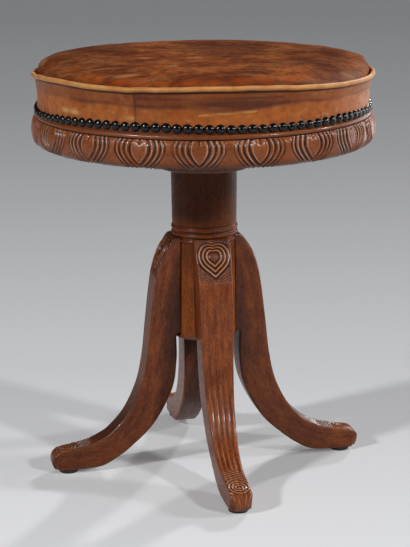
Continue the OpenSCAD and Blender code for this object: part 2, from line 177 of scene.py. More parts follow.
# %% The greys of the floor
def floor_reach(row):
    """How far away the floor is that shows in this row of the picture."""
    rows_to_lens = FRAME_HIGH * lens.lens / lens.sensor_width
    return VIEW_HEIGHT / math.tan(VIEW_TILT + math.atan((row - FRAME_HIGH / 2) / rows_to_lens))


FLOOR_GREYS = {
    3: "787A7C", 20: "7A7B7D", 60: "828385", 100: "898A8C", 150: "949597", 200: "A0A1A3",
    250: "ABACAE", 300: "B5B6B8", 340: "BCBDBF", 370: "C0C1C3", 400: "C6C7C9", 440: "CBCCCE",
    480: "D1D2D4", 510: "D5D6D8", 545: "D9DADC",
}
near, far = floor_reach(545), floor_reach(3)
floor_stops = sorted(
    ((floor_reach(row) - near) / (far - near), colour(tone)) for row, tone in FLOOR_GREYS.items()
)
print("floor from", round(near, 2), "to", round(far, 2), "m")

# %% The studio floor
FLOOR_HALF, FLOOR_BACK = 60, 3  # metres, so far that no view shows the floor's edge
bm = bmesh.new()
bmesh.ops.create_grid(bm, x_segments=8, y_segments=8, size=FLOOR_HALF)
bmesh.ops.translate(bm, verts=bm.verts, vec=(0, FLOOR_BACK, 0))
bmesh.ops.rotate(bm, verts=bm.verts, cent=(0, 0, 0), matrix=Matrix.Rotation(VIEW_TURN, 3, "Z"))
floor_mesh = bpy.data.meshes.new("floor")
bm.to_mesh(floor_mesh)
bm.free()
floor = bpy.data.objects.new("floor", floor_mesh)
bpy.context.scene.collection.objects.link(floor)

studio_paper, tree, shader = new_material("studio paper")
place = add_node(tree, "TexCoord").outputs["Object"]
turned_place = add_node(tree, "Mapping", {"Vector": place, "Rotation": (0, 0, -VIEW_TURN)})
away = add_node(tree, "SeparateXYZ", {"Vector": turned_place}).outputs["Y"]
share = span(tree, away, near - VIEW_REACH, far - VIEW_REACH)
ramp = add_node(tree, "ValToRGB", {"Fac": share}, stops=floor_stops)

FLOOR_LIT, FLOOR_GLOW, FLOOR_BOUNCE = 0.95, 0.21, 0.38  # shares of the grey
rays = add_node(tree, "LightPath")
seen = add_node(tree, "Math", {
    0: rays.outputs["Is Camera Ray"], 1: rays.outputs["Is Glossy Ray"],
}, operation="MAXIMUM")
seen = add_node(tree, "Math", {0: seen, 1: rays.outputs["Is Transmission Ray"]}, operation="MAXIMUM")
lit = span(tree, seen, least=FLOOR_BOUNCE, most=FLOOR_LIT)
glow = add_node(tree, "Math", {0: seen, 1: FLOOR_GLOW}, operation="MULTIPLY")
dimmed = add_node(tree, "VectorMath", {0: ramp, "Scale": lit}, operation="SCALE")
set_sockets(tree, shader, {
    "Base Color": dimmed, "Emission Color": ramp, "Emission Strength": glow,
    "Roughness": 1.0, "Specular IOR Level": 0.0,
})
floor_mesh.materials.append(studio_paper)
print("floor nodes:", len(tree.nodes))


# %% The softboxes
def add_sun(name, azimuth, height, share, width):
    """A sun at these degrees to the right of the camera and up. share is its part of the light."""
    lamp = bpy.data.lights.new(name, "SUN")
    a, e = math.radians(azimuth) + VIEW_TURN, math.radians(height)
    towards = Vector((math.sin(a) * math.cos(e), -math.cos(a) * math.cos(e), math.sin(e)))
    lamp.energy = share * math.pi / math.sin(e)
    lamp.angle = math.radians(width)
    sun = bpy.data.objects.new(name, lamp)
    sun.rotation_euler = towards.to_track_quat("Z", "Y").to_euler()
    bpy.context.scene.collection.objects.link(sun)
    print(name, "energy", round(lamp.energy, 2))


add_sun("key_left", -52, 31, 0.29, 5)
add_sun("right_front", 50, 29, 0.2, 5)
add_sun("right_side", 92, 22, 0.14, 6)
add_sun("rim_back", 152, 26, 0.17, 4)


# %% The boards and the spark
def add_card(name, azimuth, reach, height, wide, high, radiance):
    """A white board or lamp that only shows in polish, as studios use to draw out an edge."""
    lamp = bpy.data.lights.new(name, "AREA")
    lamp.shape, lamp.size, lamp.size_y = "RECTANGLE", wide, high
    lamp.energy = radiance * math.pi * wide * high
    card = bpy.data.objects.new(name, lamp)
    a = math.radians(azimuth) + VIEW_TURN
    card.location = (reach * math.sin(a), -reach * math.cos(a), height)
    towards = Vector((math.sin(a), -math.cos(a), 0))
    card.rotation_euler = towards.to_track_quat("Z", "Y").to_euler()
    card.visible_camera = False
    card.visible_diffuse = False
    bpy.context.scene.collection.objects.link(card)
    print(name, "power", round(lamp.energy, 2))


add_card("card_left", -50, 1.7, 1.0, 0.8, 1.1, 0.6)
add_card("card_right", 124, 1.5, 0.55, 1.3, 1.0, 1.8)
add_card("spark", -34, 1.9, 1.5, 0.3, 0.3, 44)

# %% The studio's dim air
world = bpy.data.worlds.new("studio")
world.use_nodes = True
sky = world.node_tree.nodes["Background"]
sky.inputs["Color"].default_value = colour("F4F6FA")
sky.inputs["Strength"].default_value = 0.07
bpy.context.scene.world = world
bpy.context.scene.view_settings.view_transform = "Standard"
print("air strength:", round(sky.inputs["Strength"].default_value, 3))


# %% [markdown]
# ## French-polished mahogany
# The wood is mahogany, stained red brown and french-polished. To the eye it has long soft
# figure along the grain, short dark pores, and dirt that darkens the carved grooves. Its crests
# are painted pale, partly as wear from hands and dusters and partly as painted highlight, and
# painted shade darkens parts of the legs, the apron's lower edge and the shaft under the seat.
# Real pores are 0.3 mm wide, which this picture can't show, so they are drawn 1.25 mm wide.
# Shellac adds a thin clear coat.


# %% Mahogany
FIGURE_SCALE, PORE_SCALE, DIRT_SCALE = 150, 800, 16  # in a metre: 6.7 mm, 1.25 mm and 62 mm
NOWHERE = 9.0  # metres up, above all of the stool


def mahogany(
    name, base, warm, pale, dark, grain=None, carved=False,
    shine=0.36, coat=0.25, gloss=0.32, shaded_above=NOWHERE,
):
    """Polished wood, painted darker above a given height, as shade. Its grain is the attribute of that
    name, or it runs along Z.
    """
    material, tree, shader = new_material(name)
    place = add_node(tree, "TexCoord").outputs["Object"]
    if grain:
        along = add_node(tree, "Attribute", attribute_name=grain).outputs["Vector"]
    else:
        along = add_node(tree, "Mapping", {"Vector": place, "Rotation": (0, math.pi / 2, 0)})
    figure = noise(tree, drawn_out(tree, along, 0.25), FIGURE_SCALE, 5, 0.6)
    pores = noise(tree, drawn_out(tree, along, 0.28), PORE_SCALE, 2)
    # In the wood itself this noise is blotchy dirt in the polish.
    dirt_and_shade = noise(tree, place, DIRT_SCALE, 3)
    height = add_node(tree, "SeparateXYZ", {"Vector": place}).outputs["Z"]

    tone = blend(tree, span(tree, figure, 0.3, 0.7), base, warm)
    tone = blend(tree, span(tree, pores, 0.46, 0.62, most=0.46), tone, dark)
    tone = blend(tree, span(tree, dirt_and_shade, 0.5, 0.72, most=0.25), tone, dark)
    # Above the given height the wood is painted darker, as shade.
    tone = blend(tree, span(tree, height, shaded_above, shaded_above + 0.03, most=0.48), tone, dark)
    # Relief above zero is painted pale, for worn crests and as painted highlight; below zero it is painted
    # dark, for dirt in the cuts and as painted shade.
    if carved:
        relief = add_node(tree, "Attribute", attribute_name="relief").outputs["Fac"]
        tone = blend(tree, span(tree, relief, 0.1, 1.0, most=0.72), tone, pale)
        tone = blend(tree, span(tree, relief, -0.05, -1.0, most=0.95), tone, dark)
    bump = add_node(tree, "Bump", {"Height": pores, "Strength": 0.12, "Distance": 0.0004})
    set_sockets(tree, shader, {
        "Base Color": tone, "Roughness": span(tree, pores, 0.4, 0.7, shine, shine + 0.2),
        "Specular IOR Level": gloss, "Coat Weight": coat, "Coat Roughness": 0.1, "Normal": bump,
    })
    return material


print("pores are drawn", 1000 / PORE_SCALE, "mm wide and figure", round(1000 / FIGURE_SCALE, 1), "mm")

# %% The woods of the stool
leg_wood = mahogany(
    "mahogany legs", "6E2A0E", "A25624", "ECBA90", "200903", "grain", True, coat=0.18, gloss=0.26,
)
apron_wood = mahogany(
    "mahogany apron", "8A461E", "9E5628", "F4D0B0", "2C0F06", "grain", True, 0.26, 0.22, 0.26,
)
# The column is painted darker above 235 mm, as the shade under the seat.
column_wood = mahogany(
    "mahogany column", "7E3614", "9C541E", "A07050", "200B05", coat=0.05, gloss=0.14, shaded_above=0.235,
)
cap_wood = mahogany("mahogany cap", "682E14", "84441C", "A07050", "200B05")
boss_wood = mahogany("mahogany boss", "6E3E26", "8E583A", "B89478", "26100A")
print("woods:", len([m for m in bpy.data.materials if m.name.startswith("mahogany")]))


# %% [markdown]
# ## Helpers for shapes
# Turned parts are outlines spun round the stool's axis. Curves go through a few measured
# points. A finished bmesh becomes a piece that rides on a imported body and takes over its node.


# %% Curves
def smooth_line(points, shares):
    """Points on a smooth line through the given ones, at these shares of its length."""
    p = np.array(points, float)
    p = np.vstack([2 * p[0] - p[1], p, 2 * p[-1] - p[-2]])
    t = np.linspace(0, 1, 24, endpoint=False)[None, :, None]
    a, b, c, d = p[:-3, None], p[1:-2, None], p[2:-1, None], p[3:, None]
    line = b + 0.5 * t * (c - a + t * (2 * a - 5 * b + 4 * c - d + t * (3 * (b - c) + d - a)))
    line = np.vstack([line.reshape(-1, p.shape[1]), p[-2]])
    run = np.append(0, np.cumsum(np.linalg.norm(np.diff(line[:, :2], axis=0), axis=1)))
    at = np.asarray(shares) * run[-1]
    return np.stack([np.interp(at, run, column) for column in line.T], 1)


def soft_steps(x, places, heights):
    """Heights joined by soft cosine steps."""
    places, heights = np.array(places, float), np.array(heights, float)
    k = np.clip(np.searchsorted(places, x) - 1, 0, len(places) - 2)
    t = np.clip((x - places[k]) / (places[k + 1] - places[k]), 0, 1)
    return heights[k] + (heights[k + 1] - heights[k]) * (0.5 - 0.5 * np.cos(np.pi * t))


halfway = soft_steps(np.array([0.5]), [0, 1], [0, 10])
print("halfway up a soft step of 10 mm:", halfway.round(2), "mm")


# %% Turned outlines
def turned(outline, steps, closed=True, sectors=1):
    """An outline of (radius, height) in mm, spun round the axis in one sector, then copied round."""
    bm = bmesh.new()
    line = [bm.verts.new((r * MM, 0, z * MM)) for r, z in outline]
    pairs = list(zip(line, line[1:])) + ([(line[-1], line[0])] if closed else [])
    edges = [bm.edges.new(pair) for pair in pairs]
    sector = 2 * math.pi / sectors
    bmesh.ops.spin(
        bm, geom=line + edges, cent=(0, 0, 0), axis=(0, 0, 1),
        angle=sector, steps=steps // sectors, use_merge=sectors == 1,
    )
    if sectors > 1:
        bmesh.ops.spin(
            bm, geom=bm.verts[:] + bm.edges[:] + bm.faces[:], cent=(0, 0, 0), axis=(0, 0, 1),
            angle=2 * math.pi - sector, steps=sectors - 1, use_duplicate=True,
        )
    return bm


ring = turned([(10, 0), (12, 0), (12, 2)], 12)
print("a small turned ring has", len(ring.faces), "faces")
ring.free()


# %% Pieces
def make_piece(bm, name, material, sharp):
    """The bmesh becomes a mesh object. Edges sharper than this many degrees stay crisp."""
    bmesh.ops.remove_doubles(bm, verts=bm.verts, dist=1e-6)
    bmesh.ops.recalc_face_normals(bm, faces=bm.faces)
    mesh = bpy.data.meshes.new(name)
    bm.to_mesh(mesh)
    bm.free()
    mesh.shade_smooth()
    mesh.set_sharp_from_angle(angle=math.radians(sharp))
    mesh.materials.append(material)
    piece = bpy.data.objects.new(name, mesh)
    bpy.context.scene.collection.objects.link(piece)
    return piece


def settle(piece, body, slot, *stands_for):
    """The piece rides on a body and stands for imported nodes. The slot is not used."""
    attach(piece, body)
    if stands_for:
        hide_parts(*stands_for)
    print(piece.name, "has", len(piece.data.polygons), "faces and stands for", stands_for)


print("packed nodes to dress or finish:", sorted(nodes))


# %% Corners and painted values
def corners(mesh):
    """The mesh's vertices and their normals, in mm."""
    place, normal = np.zeros(len(mesh.vertices) * 3), np.zeros(len(mesh.vertices) * 3)
    mesh.vertices.foreach_get("co", place)
    mesh.vertex_normals.foreach_get("vector", normal)
    return place.reshape(-1, 3) / MM, normal.reshape(-1, 3)


def azimuths(place):
    """Degrees round the axis from the front leg towards the right leg."""
    return np.degrees(np.arctan2(place[:, 0], -place[:, 1]))


def put_back(mesh, place):
    """Writes moved vertices, given in mm."""
    mesh.vertices.foreach_set("co", (place * MM).ravel())
    mesh.update()


def paint(mesh, name, values, kind="FLOAT"):
    """Stores a value for each vertex, for the material to read."""
    layer = mesh.attributes.new(name, kind, "POINT")
    layer.data.foreach_set("value" if kind == "FLOAT" else "vector", np.ravel(values).astype(float))


some = bpy.data.meshes.new("some")
some.from_pydata([(0, 0, 0), (0, 0, MM)], [], [])
print("two corners in mm:", corners(some)[0].tolist())
bpy.data.meshes.remove(some)


# %% [markdown]
# ## The sabre legs
# Each leg was sawn from a plank, shaped to a sabre curve, and carved on its outer face: a
# heart in nested rings at the head, punched ground below it, five shallow reeds down to the
# ankle, and slanting cuts and a swirl on the foot, before a plain worn toe. The leg could be
# sculpted, but a sheet bent round a cross-section and laid along the curve keeps the edges
# true, and its fine rows give the carver's cuts somewhere to go.

# %% The leg's line
LEG_TOP, LEG_REACH, SOLE, TOE_ROUND = 285.0, 190.5, 4.5, 6
LEG_LINE = [  # outer radius, outer height, inner radius, inner height
    (33.5, 285, 31.8, 284), (41, 284.4, 31.8, 280), (48.9, 274.1, 31.8, 268), (56.8, 258.9, 31.8, 252),
    (62, 241, 31.8, 236), (65.2, 222, 31.8, 218), (67.5, 203.9, 31.8, 201), (70.2, 181, 31.8, 179),
    (71.6, 169.2, 31.8, 168), (71.8, 167.2, 38.2, 166.8), (75.7, 134.9, 38.4, 135), (83.5, 102, 44.3, 98),
    (99.2, 70.1, 66, 57), (118.1, 49.2, 93, 30), (131, 41, 113, 15.2), (144.2, 35.5, 132, 6.4),
    (169, 30.2, 160, 4.5), (182.4, 27.3, 176, 4.5), (189, 21, 182, 4.5), (190.5, 14.5, 184, 4.5),
    (188.6, 8.5, 185.5, 4.5),
]
HALF_WIDTHS = [  # share of the leg's height, half width in mm
    (0, 13.23), (0.09, 13.23), (0.212, 14.994), (0.387, 17.01), (0.58, 19.005), (1, 21),
]
# The rows are close where the carving is fine, on the head and on the foot.
leg_rows = np.concatenate([np.arange(0, 62, 0.6), np.arange(62, 280, 2.5), np.arange(280, 352.1, 0.6)])
leg_line = smooth_line(LEG_LINE, leg_rows / leg_rows[-1])
shares, halves = np.array(HALF_WIDTHS).T
leg_half = np.interp(leg_line[:, 1], SOLE + (LEG_TOP - SOLE) * shares, halves)
from_toe = np.minimum.accumulate(np.clip(LEG_REACH - leg_line[:, 0], 0, TOE_ROUND))
toe_cut = TOE_ROUND - np.sqrt(TOE_ROUND**2 - (TOE_ROUND - from_toe) ** 2)
leg_half = leg_half - np.where(leg_rows > 300, toe_cut, 0)
print("leg rows:", len(leg_rows), "half widths:", leg_half.min().round(1), leg_half.max().round(1))


# %% The leg's cross-section
def leg_section():
    """Corners of the leg's section as (side, side round, depth, depth round) shares."""
    face = [(t, 0, 0, -1) for t in np.linspace(-1, 1, 84)]
    turn = np.radians(np.arange(15, 90, 15))
    outer = [(1, math.sin(a), 0, -math.cos(a)) for a in turn]
    side = [(1, 1, t, 0) for t in np.linspace(0, 1, 9)]
    inner = [(1, math.cos(a), 1, math.sin(a)) for a in turn]
    back = [(t, 0, 1, 1) for t in np.linspace(1, 0, 6)]
    half = np.array(outer + side + inner + back)
    other = half[::-1][1:] * (-1, -1, 1, 1)
    return np.vstack([face, half, other])


section = leg_section()
ROUND = 2.4
thick = np.linalg.norm(leg_line[:, 2:] - leg_line[:, :2], axis=1)
corner = np.minimum(ROUND, 0.42 * thick)
side = section[:, 0] * (leg_half - corner)[:, None] + section[:, 1] * corner[:, None]
depth = section[:, 2] * (thick - 2 * corner)[:, None] + (1 + section[:, 3]) * corner[:, None]
inward = (leg_line[:, 2:] - leg_line[:, :2]) / thick[:, None]
print("section points:", len(section))


# %% Carving on the heads
# Places are in mm down the leg's face from its top, or across it from its middle.
HEART_AT, GROUND_FROM, DOT_PITCH, CUT_PITCH = 27, 21.5, 3.1, 3.9
HEART = [  # degrees up from the side, how far the heart reaches that way
    (-90, 1.35), (-75, 1.12), (-60, 1.03), (-45, 1), (30, 1), (50, 0.98), (70, 0.88), (90, 0.72),
]
RINGS = [  # distance from the heart's middle, height
    (0, -0.5), (4.5, -0.8), (6.5, -1.7), (8.7, 0.3), (11, -1.7), (13.2, 0.3), (15.5, -1.7),
    (17.7, 0.4), (20, -1.8), (22, -0.7),
]


def head_carving(run, across):
    """Nested rings in the shape of a heart, on ground that is punched all over."""
    angle = np.degrees(np.arctan2(HEART_AT - run, np.abs(across)))
    level = np.hypot(across, run - HEART_AT) / np.interp(angle, *np.array(HEART).T)
    turn = 2 * np.pi / DOT_PITCH
    dots = np.cos(run * turn + np.sin(across)) * np.cos(across * turn)
    return np.where(level > GROUND_FROM, -0.7 + 0.9 * dots, soft_steps(level, *zip(*RINGS)))


print("heart's middle:", round(float(head_carving(HEART_AT, 0)), 2), "mm")


# %% Reeds and foot
def reed_carving(run, across, half):
    """Five shallow reeds, and their tones: darker grooves, and a painted highlight along one side of each
    reed's back, strongest towards the ankle.
    """
    reed = (across / (2 * half / 5) + 0.5) % 1 - 0.5
    groove = 1 - np.sqrt(1 - (1.94 * reed) ** 2)
    sunk = -0.7 * groove * np.clip((run - 57) / 5, 0, 1) * np.clip((288 - run) / 6, 0, 1)
    # A painted highlight runs along one side of each reed's back.
    ridge_highlight = np.clip(1 - np.abs(reed - 0.06) / 0.12, 0, 1) * (0.6 + 0.4 * np.sin(run / 7 + across))
    return sunk, (np.clip(sunk / 0.8, -0.6, 0) + 0.85 * ridge_highlight) * np.clip((run - 110) / 130, 0.3, 1)


def foot_carving(run, across):
    """Slanting cuts above a swirl, and where they are."""
    along = run - 286
    slant = np.where(along < 20, along - 0.55 * across, np.hypot(across, along - 34))
    cuts = -0.55 + 0.55 * np.cos(slant * 2 * np.pi / CUT_PITCH)
    return cuts, np.clip(along / 3, 0, 1) * np.clip((334 - run) / 2, 0, 1)


print("cuts on the foot:", foot_carving(np.arange(290, 294), 0)[0].round(2), "mm")


# %% All of a leg's carving
def leg_relief(run, across, half):
    """How high the carver left the outer face, in mm, and its tones from -1 to 1: pale on crests, for wear
    and as painted highlight, and dark in the cuts.
    """
    ground = head_carving(run, across)
    reeds, rub_and_highlight = reed_carving(run, across, half)
    cuts, foot = foot_carving(run, across)
    head = np.clip((61 - run) / 7, 0, 1)
    height = head * ground + (1 - head) * reeds + foot * cuts
    wear_and_painted_light = head * np.clip(ground + 0.42, -1, 0.75) + (1 - head) * rub_and_highlight
    wear_and_painted_light = wear_and_painted_light + foot * np.clip(0.6 + cuts * 1.5, -0.75, 0.7)
    return height, np.clip(wear_and_painted_light, -1, 1)


deepest = leg_relief(leg_rows, 0 * leg_rows, leg_half)[0].min()
print("deepest cut down a leg's middle:", round(float(deepest), 2), "mm")


# %% Painted shade on the legs
def leg_shade(run, deep, front, dirt_and_shade, low_darkening):
    """How much painted shade darkens a leg: all over, on its inner part near the column, at its top under
    the rings, on the front leg's sides; and how much darker its ankle is.
    """
    column_shade = 0.5 * np.clip((deep - 17) / 14, 0, 1) * np.clip((200 - run) / 40, 0, 1)
    shade_under_rings = 0.35 * np.clip((22 - run) / 14, 0, 1)
    flank = 0.3 * np.clip(deep / 6, 0, 1) * (dirt_and_shade < 0.1)
    painted_amount = dirt_and_shade * (1 + front * np.interp(run, [280, 310], [0.7, -0.7]))
    ankle = low_darkening * np.clip((run - 170) / 60, 0, 1)
    return column_shade + shade_under_rings + flank + painted_amount + ankle


print("dirt on the right leg's ankle:", leg_shade(250, 0, 1, 0.25, 0.06).round(2))


# %% Make the legs
def make_leg(name, turn, dirt_and_shade, low_darkening):
    """One leg: a sheet rolled to the leg's section, closed at both ends, carved, worn and painted with
    shade.
    """
    rows, columns = len(leg_rows), len(section)
    bm = bmesh.new()
    bmesh.ops.create_grid(bm, x_segments=columns, y_segments=rows - 1, size=0.5)
    grain = bm.verts.layers.float_vector.new("grain")
    for v in bm.verts:
        i, j = round((v.co.x + 0.5) * columns) % columns, round((v.co.y + 0.5) * (rows - 1))
        d, s = depth[j, i], side[j, i]
        r, z = leg_line[j, :2] + inward[j] * d
        v.co = (r * MM, s * MM, z * MM)
        v[grain] = (leg_rows[j] * MM, s * MM, d * MM)
    bmesh.ops.remove_doubles(bm, verts=bm.verts, dist=1e-6)
    ends = [e for e in bm.edges if e.is_boundary]
    bmesh.ops.holes_fill(bm, edges=ends, sides=0)
    piece = make_piece(bm, name, leg_wood, 40)
    mesh = piece.data
    place, normal = corners(mesh)
    known = np.zeros(len(mesh.vertices) * 3)
    mesh.attributes["grain"].data.foreach_get("vector", known)
    known = known.reshape(-1, 3) / MM
    run, across, deep = known.T
    half = np.interp(run, leg_rows, leg_half)
    height, wear_and_painted_light = leg_relief(run, across, half)
    front = np.clip(1 - deep / 2.2, 0, 1)
    put_back(mesh, place + normal * (height * front)[:, None])
    edge = 0.35 * np.clip(1 - np.abs(deep - 0.9) / 0.9, 0, 1) * (run > 60)
    shaded = leg_shade(run, deep, front, dirt_and_shade, low_darkening)
    paint(mesh, "relief", np.clip(wear_and_painted_light * front + edge - shaded, -1, 1))
    mesh.transform(Matrix.Rotation(turn, 4, "Z"))
    known[:, 0] += turn * 200  # no two legs have the same figure
    mesh.attributes["grain"].data.foreach_set("vector", (known * MM).ravel())
    return piece


print("each leg starts from", len(leg_rows) * len(section), "corners")

# %% Four legs
LEGS = [  # name, degrees from the right, painted shade on it, darkening of its ankle
    ("right", 0, 0.25, 0.06), ("back", 90, 0.3, 0), ("left", 180, 0.28, 0.2), ("front", -90, 0.04, 0.02),
]
for name, turn, dirt_and_shade, low_darkening in LEGS:
    leg = make_leg("carved_leg_" + name, math.radians(turn), dirt_and_shade, low_darkening)
    settle(leg, "pedestal", "leg_wood", "leg_" + name)

# %% [markdown]
# ## The carved apron
# The ring under the leather is carved with nineteen hearts, each between three pairs of
# lyre-shaped ridges. It could be one heart repeated, but a fine ring that is spun once and
# pushed in along its normals has no seams between the hearts.

# %% Spin the apron
APRON_FACE = [
    (195.9, 430.4), (198.2, 426.3), (199.7, 419.7), (200, 412.5), (199.2, 406.5), (196.9, 401.8),
    (192.8, 399),
]
APRON_TOP, APRON_FOOT, APRON_RADIUS, MOTIFS = 430.4, 399.0, 200, 19
face = smooth_line(APRON_FACE, np.linspace(0, 1, 46))
back_wall = [(184, 399), (176, 399), (176, 416), (176, 430.4), (186, 430.4)]
bm = turned([tuple(p) for p in face] + back_wall, 80 * MOTIFS, sectors=MOTIFS)
apron = make_piece(bm, "carved_apron", apron_wood, 50)
print("the plain apron has", len(apron.data.polygons), "faces")


# %% The apron's hearts
APRON_CUTS = [(11.5, 1.5, 1.0), (18.1, 1.25, 1.0), (24.0, 1.15, 1.0), (28.8, 1.1, 0.7)]
APRON_CRESTS = [(8.6, 0.8, 1.0), (14.9, 0.8, 1.0), (21.2, 0.8, 1.0), (26.6, 0.8, 1.0)]
PITCH, FIRST_HEART = 360 / MOTIFS, -13.6  # degrees
CRACK_AT, CRACK_WIDE, CRACK_DEEP = 54.7, 1.5, 1.6  # degrees, mm, mm
MM_A_DEGREE = 3.49


def lines(level, table):
    """Soft lines along the carving's curves. Each has a place, a half width and a strength."""
    return sum(strength * np.exp(-(((level - at) / wide) ** 2)) for at, wide, strength in table)


def apron_relief(x, v):
    """Height and tones of the carving x mm beside a heart's middle, at the share v from the top. Crests
    are painted pale, for wear and as painted highlight, and the lower edge gets painted shade.
    """
    above, below = np.clip((0.3 - v) / 0.3, 0, 1), np.clip((v - 0.3) / 0.7, 0, 1)
    level = x + 2.6 * above**2 + 15.5 * below**1.8
    cut = np.clip(lines(level, APRON_CUTS), 0, 1)
    crest = lines(level, APRON_CRESTS)
    notch = np.exp(-((x / 1.7) ** 2)) * np.clip((0.2 - v) / 0.12, 0, 1)
    heart = np.clip(1 - level / 8, 0, 1)
    height = 0.1 - 2.1 * cut + 0.25 * crest * (level < 10)
    height = height - 1.2 * notch - 0.4 * np.sqrt(heart) * (level > 5)
    # Pale crests are wear and painted highlight; the lowest part of the face is painted darker, as shade.
    wear_and_painted_light = 0.5 * crest - 1.2 * cut - 0.7 * notch - 0.4 * np.clip((v - 0.7) / 0.3, 0, 1)
    return height * np.clip(v / 0.05, 0, 1), wear_and_painted_light


across_heart = np.arange(0, 33, 8)
print("cuts beside a heart:", apron_relief(across_heart, 0.5)[0].round(2), "mm")

# %% Carve the apron
place, normal = corners(apron.data)
azimuth = azimuths(place)
radius = np.hypot(place[:, 0], place[:, 1])
v = (APRON_TOP - place[:, 2]) / (APRON_TOP - APRON_FOOT)
on_face = (radius > 192).astype(float)
beside = (azimuth - FIRST_HEART + PITCH / 2) % PITCH - PITCH / 2
height, wear_and_painted_light = apron_relief(np.abs(np.radians(beside) * APRON_RADIUS), v)
crack = np.exp(-(((azimuth - CRACK_AT) * MM_A_DEGREE / CRACK_WIDE) ** 2))
height = height - CRACK_DEEP * crack
put_back(apron.data, place + normal * (height * on_face)[:, None])
# The painted tones of the carving, wear and painted highlight alike, are stronger in some places than
# others.
painted_amount = 1 + 0.3 * np.sin(np.radians(23 * azimuth))
painted_amount = painted_amount + 0.3 * np.sin(np.radians(61 * azimuth) + place[:, 2] / 3)
paint(apron.data, "relief", np.clip(wear_and_painted_light * painted_amount - crack, -1, 1) * on_face)
run = np.radians((azimuth - CRACK_AT) % 360) * APRON_RADIUS
paint(apron.data, "grain", np.stack([run, place[:, 2], radius], 1) * MM, "FLOAT_VECTOR")
settle(apron, "seat", "apron_wood", "apron")

# %% The bead above the apron
BEAD_AT, BEAD_HEIGHT, BEAD_HALF = 193.35, 433.45, 3.05
half_round = [
    (BEAD_AT + BEAD_HALF * math.cos(a), BEAD_HEIGHT + BEAD_HALF * math.sin(a))
    for a in np.radians(np.arange(-90, 91, 15))
]
bm = turned(half_round + [(191, 436.5), (191, APRON_TOP)], 360, sectors=12)
bead = make_piece(bm, "half_round_bead", apron_wood, 50)
place, _ = corners(bead.data)
azimuth = azimuths(place)
run = np.radians((azimuth - CRACK_AT) % 360) * 194
paint(bead.data, "grain", np.stack([run, place[:, 2], place[:, 2]], 1) * MM, "FLOAT_VECTOR")
# The bead is painted a little darker all over, and darkest along its lowest millimetre, as a painted
# shadow line where it meets the apron.
paint(bead.data, "relief", np.clip((place[:, 2] - 432.6) / 1.5, -0.95, -0.24))
settle(bead, "seat", "apron_wood", "bead")

# %% [markdown]
# ## Old leather
# The seat is covered in vegetable-tanned sheepskin, about a hundred years old. The top is
# chestnut, rubbed and scratched pale by use, and flushed orange near its front rim. The side
# is tan, darker where hands greased it under the piping, and painted with a thin shadow right
# under the piping and under the nails. Leather has a fine pebble grain, drawn a little coarse
# here, and its wax finish gives a soft wide shine.


# %% Leather
CLOUD_SCALE, MOTTLE_SCALE, PEBBLE_SCALE = 22, 130, 800  # in a metre: 45 mm, 7.7 mm and 1.25 mm
RUB_SCALE, SCRATCH_SCALE = 60, 170  # in a metre: 17 mm and 6 mm
FLUSH_TONE, FUZZ_TONE = "B4501C", "F0D0C0"


def sheepskin(name, base, warm, dark, scuffed, scuff_share, mottling, fuzz, gloss=0.22):
    """Aged leather. One attribute darkens it, for stains and as painted shade, and the attributes scuff
    and flush rub it pale and redden it.
    """
    material, tree, shader = new_material(name)
    place = add_node(tree, "TexCoord").outputs["Object"]
    cloud = noise(tree, place, CLOUD_SCALE, 5, 0.6)
    mottle = noise(tree, place, MOTTLE_SCALE, 4, 0.65)
    rub_and_highlight = noise(tree, drawn_out(tree, place, 0.3, -VIEW_TURN), RUB_SCALE, 6, 0.7, 0.4)
    scratched = noise(tree, drawn_out(tree, place, 0.1, -VIEW_TURN), SCRATCH_SCALE, 3, twist=0.2)
    pebbles = add_node(tree, "TexVoronoi", {"Vector": place, "Scale": PEBBLE_SCALE})
    stain_and_shade, scuff, flush = (
        add_node(tree, "Attribute", attribute_name=key).outputs["Fac"]
        for key in ("stain_and_shade", "scuff", "flush")
    )
    worn = add_node(tree, "Math", {
        0: span(tree, rub_and_highlight, 0.52, 0.74, most=scuff_share),
        1: span(tree, scratched, 0.6, 0.7, most=scuff_share),
    }, operation="MAXIMUM")
    worn = add_node(tree, "Math", {0: worn, 1: scuff}, operation="ADD", use_clamp=True)

    tone = blend(tree, span(tree, cloud, 0.4, 0.6), base, warm)
    tone = blend(tree, span(tree, mottle, 0.44, 0.66, most=mottling), tone, dark)
    tone = blend(tree, flush, tone, FLUSH_TONE)
    tone = blend(tree, worn, tone, scuffed)
    tone = blend(tree, stain_and_shade, tone, dark)
    rough = add_node(tree, "Math", {0: pebbles, 1: mottle}, operation="ADD")
    bump = add_node(tree, "Bump", {"Height": rough, "Strength": 0.25, "Distance": 0.0005})
    set_sockets(tree, shader, {
        "Base Color": tone, "Roughness": span(tree, mottle, 0.35, 0.7, 0.42, 0.6),
        "Specular IOR Level": gloss, "Sheen Weight": fuzz, "Sheen Roughness": 0.4,
        "Sheen Tint": colour(FUZZ_TONE), "Normal": bump,
    })
    return material


print("pebbles are drawn", 1000 / PEBBLE_SCALE, "mm wide")

# %% The leathers of the seat
top_leather = sheepskin("sheepskin top", "6C3012", "A05828", "3B160E", "AC784E", 0.5, 0.7, 0.02, 0.01)
band_leather = sheepskin("sheepskin side", "BE6A2C", "AE5A20", "4A201A", "E0AC70", 0.3, 0.35, 0.4)
piping_leather = sheepskin("sheepskin piping", "D89650", "CA8444", "9A5828", "ECC08A", 0.2, 0.3, 0.3)
print("leathers:", [m.name for m in bpy.data.materials if m.name.startswith("sheepskin")])

